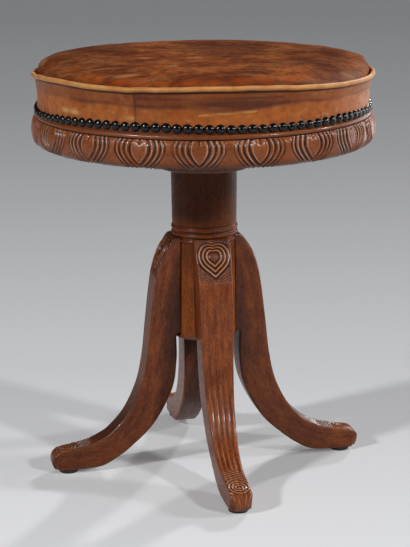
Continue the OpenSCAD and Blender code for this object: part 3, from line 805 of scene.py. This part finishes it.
# %% The side band
PIPING_HEIGHT, PIPING_RADIUS, PIPING_HALF, NAIL_COUNT = 484.3, 196.2, 2.8, 104
BAND_FOOT, BAND_TOP = 436.5, PIPING_HEIGHT - PIPING_HALF
SAG = [  # degrees round the seat, mm
    (-180, -9), (-120, -9), (-104, -8), (-88, -4.6), (-77, -2), (-66, -0.5), (-58, -1), (-50, -1.3),
    (-44, -1.1), (-37, -1.5), (-30, 0), (-10, 1.5), (2, 1.1), (11, 0), (20, -2), (30, -3.9), (40, -5.6),
    (52, -6.8), (64, -7.4), (76, -8.2), (92, -9), (180, -9),
]


def seam_lift(angle):
    """How far the piping wanders up or down round the seat, in mm, as old stuffing settles."""
    return soft_steps(angle, *zip(*SAG))


band_line = [
    (193 + 2.6 * t**4 - 0.7 * math.sin(math.pi * t), BAND_FOOT + (BAND_TOP - BAND_FOOT) * t)
    for t in np.linspace(0, 1, 32)
]
bm = turned(band_line + [(r - 2, z) for r, z in band_line[::-4]], 720, sectors=12)
band = make_piece(bm, "side_leather", band_leather, 60)
place, normal = corners(band.data)
azimuth = azimuths(place)
up = (place[:, 2] - BAND_FOOT) / (BAND_TOP - BAND_FOOT)
print("the band reaches from", BAND_FOOT, "to", BAND_TOP, "mm, with", len(place), "corners")


# %% Creases of the band
def waves(angle, *parts):
    """A sum of sine waves round the seat, given as (count, size, start)."""
    return sum(size * np.sin(np.radians(count * angle + start)) for count, size, start in parts)


SEAM = -34.6
outer = np.hypot(place[:, 0], place[:, 1]) > 191.8
slack = waves(azimuth, (5, 0.35, 20), (11, 0.25, 80), (23, 0.15, 10)) * np.sin(np.pi * up)
pucker = -0.2 * np.cos(np.radians(NAIL_COUNT * azimuth)) * np.exp(-(((up - 0.24) / 0.1) ** 2))
seam = np.clip((SEAM - azimuth) / 0.25, -1, 1) * np.exp(-np.abs(azimuth - SEAM) / 4) * 0.35
push = (slack + pucker + seam) * outer * np.clip((1 - up) / 0.08, 0, 1)
lifted = np.stack([0 * up, 0 * up, seam_lift(azimuth) * np.clip(up, 0, 1) ** 1.5], 1)
put_back(band.data, place + normal * push[:, None] + lifted)
print("the band gives way by", push.min().round(2), "to", push.max().round(2), "mm")

# %% Grease, stains, scratches and painted shadow of the band
edge_of_grease = 0.66 + waves(azimuth, (3, 0.03, 0), (7, 0.02, 50), (17, 0.012, 90))
edge_of_grease = edge_of_grease - 0.14 * np.exp(-(((azimuth + 2) / 12) ** 2))
grease = np.interp(azimuth, [20, 60], [0.38, 0.14]) / (1 + np.exp(-(up - edge_of_grease) / 0.04))
uneven = 1 + waves(azimuth, (7, 0.3, 20), (13, 0.3, 70), (31, 0.2, 10))
line = 0.36 * uneven * np.exp(-(((up - edge_of_grease - 0.03) / 0.045) ** 2)) * (azimuth > -80)
second_line = 0.3 * uneven * np.exp(-(((up - 0.84) / 0.03) ** 2)) * (azimuth > SEAM) * (azimuth < 14)
blot = 0.65 * np.exp(-(((azimuth + 1) / 15) ** 2)) * np.exp(-(((up - 0.7) / 0.1) ** 2))
seam_line = 0.5 * np.exp(-(((azimuth - SEAM) / 0.3) ** 2))
right_of_seam = 0.25 * np.exp(-np.clip(azimuth - SEAM, 0, 90) / 14) * (azimuth > SEAM)
# The band is painted darker towards its foot, and the strip under the nails nearly black, as their shade.
low_darkening = 0.25 * np.clip((0.3 - up) / 0.12, 0, 1) + np.clip((0.1 - up) / 0.04, 0, 1)
# A painted shadow darkens the top of the band, right under the piping.
shadow_under_piping = np.clip((up - 0.94) / 0.02, 0, 1)
stain_and_shade = np.clip(grease + line + second_line + blot + seam_line + right_of_seam + low_darkening, 0, 0.88)
paint(band.data, "stain_and_shade", np.maximum(stain_and_shade, shadow_under_piping))
scratch_line = (up - 0.45 - 0.004 * (azimuth + 14)) / 0.014
scratch = np.exp(-(scratch_line**2)) * (azimuth > -14) * (azimuth < 4.5)
patches = sum(
    size * np.exp(-(((azimuth - a) / 2.2) ** 2) - (((up - 0.36) / 0.06) ** 2))
    for a, size in ((-64, 0.8), (-59, 0.9), (-36.5, 0.4))
)
paint(band.data, "scuff", np.clip(0.7 * scratch + patches, 0, 1))
settle(band, "seat", "band_leather", "side_band")

# %% [markdown]
# ## The stuffed top
# Horsehair under the leather makes a low crown. A spun disc would look turned on a lathe, so
# a slightly flat pad is blown up with a cloth simulation, and only its top may move. Then its
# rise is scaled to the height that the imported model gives.

# %% The pad
PUFF, PAD_EDGE = 2.2, 187.0


def crown(r):
    """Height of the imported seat's crown at radius r."""
    return PIPING_HEIGHT + 13 * (1 - (r / 193) ** 7)


pad_outline = [(0, 431), (159.5, 431), (159.5, 469), (189.5, 469), (191, 476), (192.4, 482)]
pad_outline += [
    (r, crown(r) - PUFF * max(1 - (r / PAD_EDGE) ** 2, 0))
    for r in (191, 187, 182, 175, 166, 154, 138, 115, 85, 50, 0)
]
bm = turned(pad_outline, 160, closed=False, sectors=8)
pad = make_piece(bm, "stuffed_top", top_leather, 80)
print("the pad starts with", len(pad.data.polygons), "faces")

# %% Blow up the pad
bpy.context.view_layer.objects.active = pad
remesh = pad.modifiers.new("even faces", "REMESH")
remesh.mode, remesh.voxel_size, remesh.use_smooth_shade = "VOXEL", 5 * MM, True
bpy.ops.object.modifier_apply(modifier=remesh.name)
flat, _ = corners(pad.data)
held = pad.vertex_groups.new(name="held")
reach = np.hypot(flat[:, 0], flat[:, 1])
for k in np.nonzero((flat[:, 2] < 484) | (reach > PAD_EDGE))[0]:
    held.add([int(k)], 1.0, "REPLACE")
cloth = pad.modifiers.new("stuffing", "CLOTH")
cloth.settings.use_pressure, cloth.settings.uniform_pressure_force = True, 4
cloth.settings.effector_weights.gravity = 0
cloth.settings.vertex_group_mass = "held"
cloth.settings.tension_stiffness = 25
cloth.settings.quality = 6
for step in range(1, 21):
    bpy.context.scene.frame_set(step)
bpy.ops.object.modifier_apply(modifier=cloth.name)
bpy.context.scene.frame_set(1)
blown, _ = corners(pad.data)
moved = blown - flat
print("the top rose", moved[:, 2].max().round(2), "mm")
moved *= PUFF / max(moved[:, 2].max(), 0.1)
put_back(pad.data, flat + moved)
fine = pad.modifiers.new("fine", "SUBSURF")
fine.levels = 1
fine.render_levels = 1
bpy.ops.object.modifier_apply(modifier=fine.name)

# %% Folds of the top
place, _ = corners(pad.data)
azimuth = azimuths(place)
reach = np.hypot(place[:, 0], place[:, 1])
rim = np.clip(reach / 190, 0, 1)
folds = waves(azimuth, (17, 0.2, 0), (29, 0.15, 40), (43, 0.15, 10)) * np.clip((rim - 0.8) / 0.12, 0, 1)
hollow = waves(azimuth, (2, 0.5, 30), (3, 0.4, 70), (5, 0.3, 10)) * rim**2
top_side = np.clip((place[:, 2] - 480) / 4, 0, 1)
behind = np.clip((np.abs(azimuth + 10) - 62) / 34, 0, 1)
settled = np.maximum(seam_lift(azimuth), 9.2 * behind - 9)
bulge = sum(size * np.exp(-(((azimuth - at) / 34) ** 2)) for at, size in ((-122, 2.6), (92, 3.2)))
rise = (hollow + folds + bulge * rim**2 + settled * rim**5) * top_side
put_back(pad.data, place + np.stack([0 * rise, 0 * rise, rise], 1))
print("the rim rises", rise.max().round(1), "and sinks", rise.min().round(1), "mm")

# %% Wear of the top
seen = place @ np.array(Matrix.Rotation(-VIEW_TURN, 3, "Z")).T
SCUFFS = [  # right, away, half width, half depth, strength: as seen from the front
    (-28, 165, 8, 26, 0.5), (-110, -96, 26, 3, 0.6), (-20, 34, 44, 3, 0.5), (-60, 90, 30, 4, 0.35),
    (95, 20, 36, 4, 0.3), (-83, -136, 15, 6, 0.8), (-33, -94, 6, 6, 0.6), (-65, -34, 8, 5, 0.7),
    (-9, -34, 11, 4, 0.8), (161, -86, 10, 9, 0.7), (-186, 5, 5, 24, 0.7), (60, -150, 30, 5, 0.25),
    (20, 60, 40, 8, 0.25),
]
STAINS = [
    (30, 60, 62, 90, 0.5), (136, -20, 42, 90, 0.45), (-120, 60, 40, 60, 0.3), (10, -168, 90, 14, 0.35),
    (-130, 0, 55, 110, 0.3),
]


def spots(table):
    """The strength of soft oval spots on the seat at each of its points."""
    total = np.zeros(len(seen))
    for right, away, wide, deep, strength in table:
        off = ((seen[:, 0] - right) / wide) ** 2 + ((seen[:, 1] - away) / deep) ** 2
        total += strength * np.exp(-(off**2))
    return total


dark_rim = 0.4 * np.clip((reach - 176) / 12, 0, 1) * (0.6 + waves(azimuth, (4, 0.4, 0)))
paint(pad.data, "stain_and_shade", np.clip(dark_rim + spots(STAINS), 0, 0.8))
paint(pad.data, "scuff", np.clip(spots(SCUFFS), 0, 1))
front_rim = np.exp(-(((reach - 176) / 10) ** 2)) * np.clip((50 - np.abs(azimuth + 15)) / 20, 0, 1)
paint(pad.data, "flush", np.clip(front_rim * (0.5 + waves(azimuth, (17, 0.2, 0), (41, 0.25, 60))), 0, 0.7))
settle(pad, "seat", "top_leather", "stuffing", "top_cover")

# %% The piping
sweep = np.radians(np.arange(0, 360, 24))
cord = [
    (PIPING_RADIUS + PIPING_HALF * math.cos(a), PIPING_HEIGHT + PIPING_HALF * math.sin(a))
    for a in sweep
]
bm = turned(cord, 480, sectors=8)
piping = make_piece(bm, "leather_piping", piping_leather, 80)
place, _ = corners(piping.data)
azimuth = azimuths(place)
place[:, 2] += seam_lift(azimuth) + waves(azimuth, (17, 0.08, 0), (29, 0.08, 40), (43, 0.06, 10))
put_back(piping.data, place)
paint(piping.data, "stain_and_shade", np.clip(0.07 * waves(azimuth, (31, 1, 0), (53, 1, 40), (17, 1, 9)), 0, 0.2))
paint(piping.data, "scuff", np.clip(0.1 * waves(azimuth, (13, 1, 50), (37, 1, 10)), 0, 0.3))
settle(piping, "seat", "piping_leather", "piping")

# %% [markdown]
# ## The nails
# A row of domed upholstery nails closes the leather's lower edge. They are steel stampings
# with gloss black enamel, set so close that they touch. One dome is half a ball, and the spin
# operator copies it round the seat.

# %% Black enamel
enamel, tree, shader = new_material("black enamel")
place = add_node(tree, "TexCoord").outputs["Object"]
chips = noise(tree, place, 420, 3)
tone = blend(tree, span(tree, chips, 0.6, 0.75, most=0.35), "020202", "2A2420")
gloss = span(tree, chips, 0.4, 0.75, 0.17, 0.24)
set_sockets(tree, shader, {"Base Color": tone, "Roughness": gloss, "Specular IOR Level": 0.36})
print("enamel nodes:", len(tree.nodes))

# %% The row of nails
NAIL_WIDE, NAIL_HIGH, NAIL_HEIGHT = 11.8, 4.2, 441.4
ROW = [  # degrees round the seat, mm
    (-180, -1), (-100, -3), (-85, -4.2), (-75, -2.9), (-66, -0.6), (-55, 1.1), (-44, 1.8), (-26, 2.2),
    (-14, 1.2), (0, 0), (12, -0.5), (26, -0.8), (38, 0), (50, -1.2), (63, -2.5), (100, -2), (180, -1),
]


def nail_lift(angle):
    """How far the hand-driven row wanders up or down, in mm, with no nail quite in line."""
    nail = np.floor(angle / (360 / NAIL_COUNT) + 0.5)
    return soft_steps(angle, *zip(*ROW)) + 0.25 * np.sin(nail * 2.4)


bm = bmesh.new()
bmesh.ops.create_uvsphere(bm, u_segments=14, v_segments=8, radius=1)
bmesh.ops.bisect_plane(bm, geom=bm.verts[:] + bm.edges[:] + bm.faces[:], dist=1e-5,
                       plane_co=(0, 0, 0), plane_no=(0, 0, -1), clear_outer=True)
bmesh.ops.holes_fill(bm, edges=[e for e in bm.edges if e.is_boundary], sides=0)
bmesh.ops.scale(bm, verts=bm.verts, vec=(NAIL_WIDE / 2 * MM, NAIL_WIDE * 0.46 * MM, NAIL_HIGH * MM))
bmesh.ops.rotate(bm, verts=bm.verts, cent=(0, 0, 0), matrix=Matrix.Rotation(math.pi / 2, 3, "X"))
bmesh.ops.translate(bm, verts=bm.verts, vec=(0, -192.2 * MM, NAIL_HEIGHT * MM))
bmesh.ops.spin(bm, geom=bm.verts[:] + bm.edges[:] + bm.faces[:], cent=(0, 0, 0), axis=(0, 0, 1),
               angle=2 * math.pi, steps=NAIL_COUNT, use_duplicate=True, use_merge=False)
nails = make_piece(bm, "enamelled_nails", enamel, 50)
place, _ = corners(nails.data)
azimuth = azimuths(place)
place[:, 2] += nail_lift(azimuth)
put_back(nails.data, place)
settle(nails, "seat", "black_nails", "nails")

# %% [markdown]
# ## The hidden works
# A steel screw carries the seat, in an iron nut in the column's top. It shows only when the
# seat is wound up. The thread is one tooth of the outline spun upwards, ten millimetres a
# turn, and merged where each turn meets the last.


# %% Metals
def bare_metal(name, base, dark, shine, size, metallic=1.0):
    """Turned or cast metal, or rubber, with darker, rougher patches of this size in mm."""
    material, tree, shader = new_material(name)
    place = add_node(tree, "TexCoord").outputs["Object"]
    patch = noise(tree, place, 1000 / size, 4)
    share = span(tree, patch, 0.42, 0.66, most=0.8)
    bump = add_node(tree, "Bump", {"Height": patch, "Strength": 0.1, "Distance": 0.0003})
    set_sockets(tree, shader, {
        "Base Color": blend(tree, share, base, dark), "Metallic": metallic, "Normal": bump,
        "Roughness": span(tree, share, least=shine, most=shine + 0.25),
    })
    return material


bright_steel = bare_metal("oiled steel", "A8A39A", "6A625A", 0.24, 9)
cast_iron = bare_metal("cast iron", "5C5852", "3A332E", 0.5, 4)
glide_rubber = bare_metal("black rubber", "1A1817", "2A2624", 0.55, 5, 0.0)
print("materials so far:", len(bpy.data.materials))

# %% The threaded spindle
LEAD, FOOT, NECK, PLATE_FACE, RIVET = 10.0, 206.4, 392.0, 399.1, 404.1
STEPS = 48
tooth = [(11.4, 0), (11.4, 3.6), (14, 5), (14, 8.6), (11.4, 10)]
turns = math.ceil((NECK - FOOT) / LEAD) + 1
bm = bmesh.new()
line = [bm.verts.new((r * MM, 0, (FOOT - LEAD + z) * MM)) for r, z in tooth]
edges = [bm.edges.new(pair) for pair in zip(line, line[1:])]
bmesh.ops.spin(bm, geom=line + edges, cent=(0, 0, 0), axis=(0, 0, 1), dvec=(0, 0, LEAD * MM / STEPS),
               angle=2 * math.pi * turns, steps=STEPS * turns, use_merge=False)
bmesh.ops.remove_doubles(bm, verts=bm.verts, dist=1e-5)
for height, way in ((FOOT, -1), (NECK, 1)):
    bmesh.ops.bisect_plane(bm, geom=bm.verts[:] + bm.edges[:] + bm.faces[:], dist=1e-6,
                           plane_co=(0, 0, height * MM), plane_no=(0, 0, way), clear_outer=True)
bmesh.ops.holes_fill(bm, edges=[e for e in bm.edges if e.is_boundary], sides=0)
spindle = make_piece(bm, "threaded_spindle", bright_steel, 30)
settle(spindle, "seat", "steel", "spindle")

neck_line = [
    (0, NECK - 1), (14, NECK - 1), (14, PLATE_FACE), (9, PLATE_FACE), (9, RIVET), (0, RIVET),
]
neck = make_piece(turned(neck_line, 64, closed=False), "spindle_neck", bright_steel, 30)
settle(neck, "seat", "steel")

# %% [markdown]
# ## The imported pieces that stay
# Column, cap, boss, board, washers, nut, screws and glides already have their true shape, so
# they only get their finish. The board is plain secondary wood, never polished.

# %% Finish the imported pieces
plain_wood = mahogany("secondary wood", "B08355", "C29A6C", "D8B88C", "6A4426", shine=0.62, coat=0.0)
FINISHES = {
    column_wood: ["column"],
    cap_wood: ["base_cap"],
    boss_wood: ["boss"],
    plain_wood: ["seat_board", "seat_drum", "leg_dowels"],
    bright_steel: ["thrust_washer", "stop_washer", "stop_screw", "nut_screws", "plate_screws",
                   "boss_screws", "drum_screws", "glide_nails"],
    cast_iron: ["spindle_nut", "spindle_plate"],
    glide_rubber: ["glide_right", "glide_back", "glide_left", "glide_front"],
}
for material, names in FINISHES.items():
    for name in names:
        for holder in nodes[name].material_slots:
            holder.material = material
print("finished packed nodes:", sum(len(names) for names in FINISHES.values()))
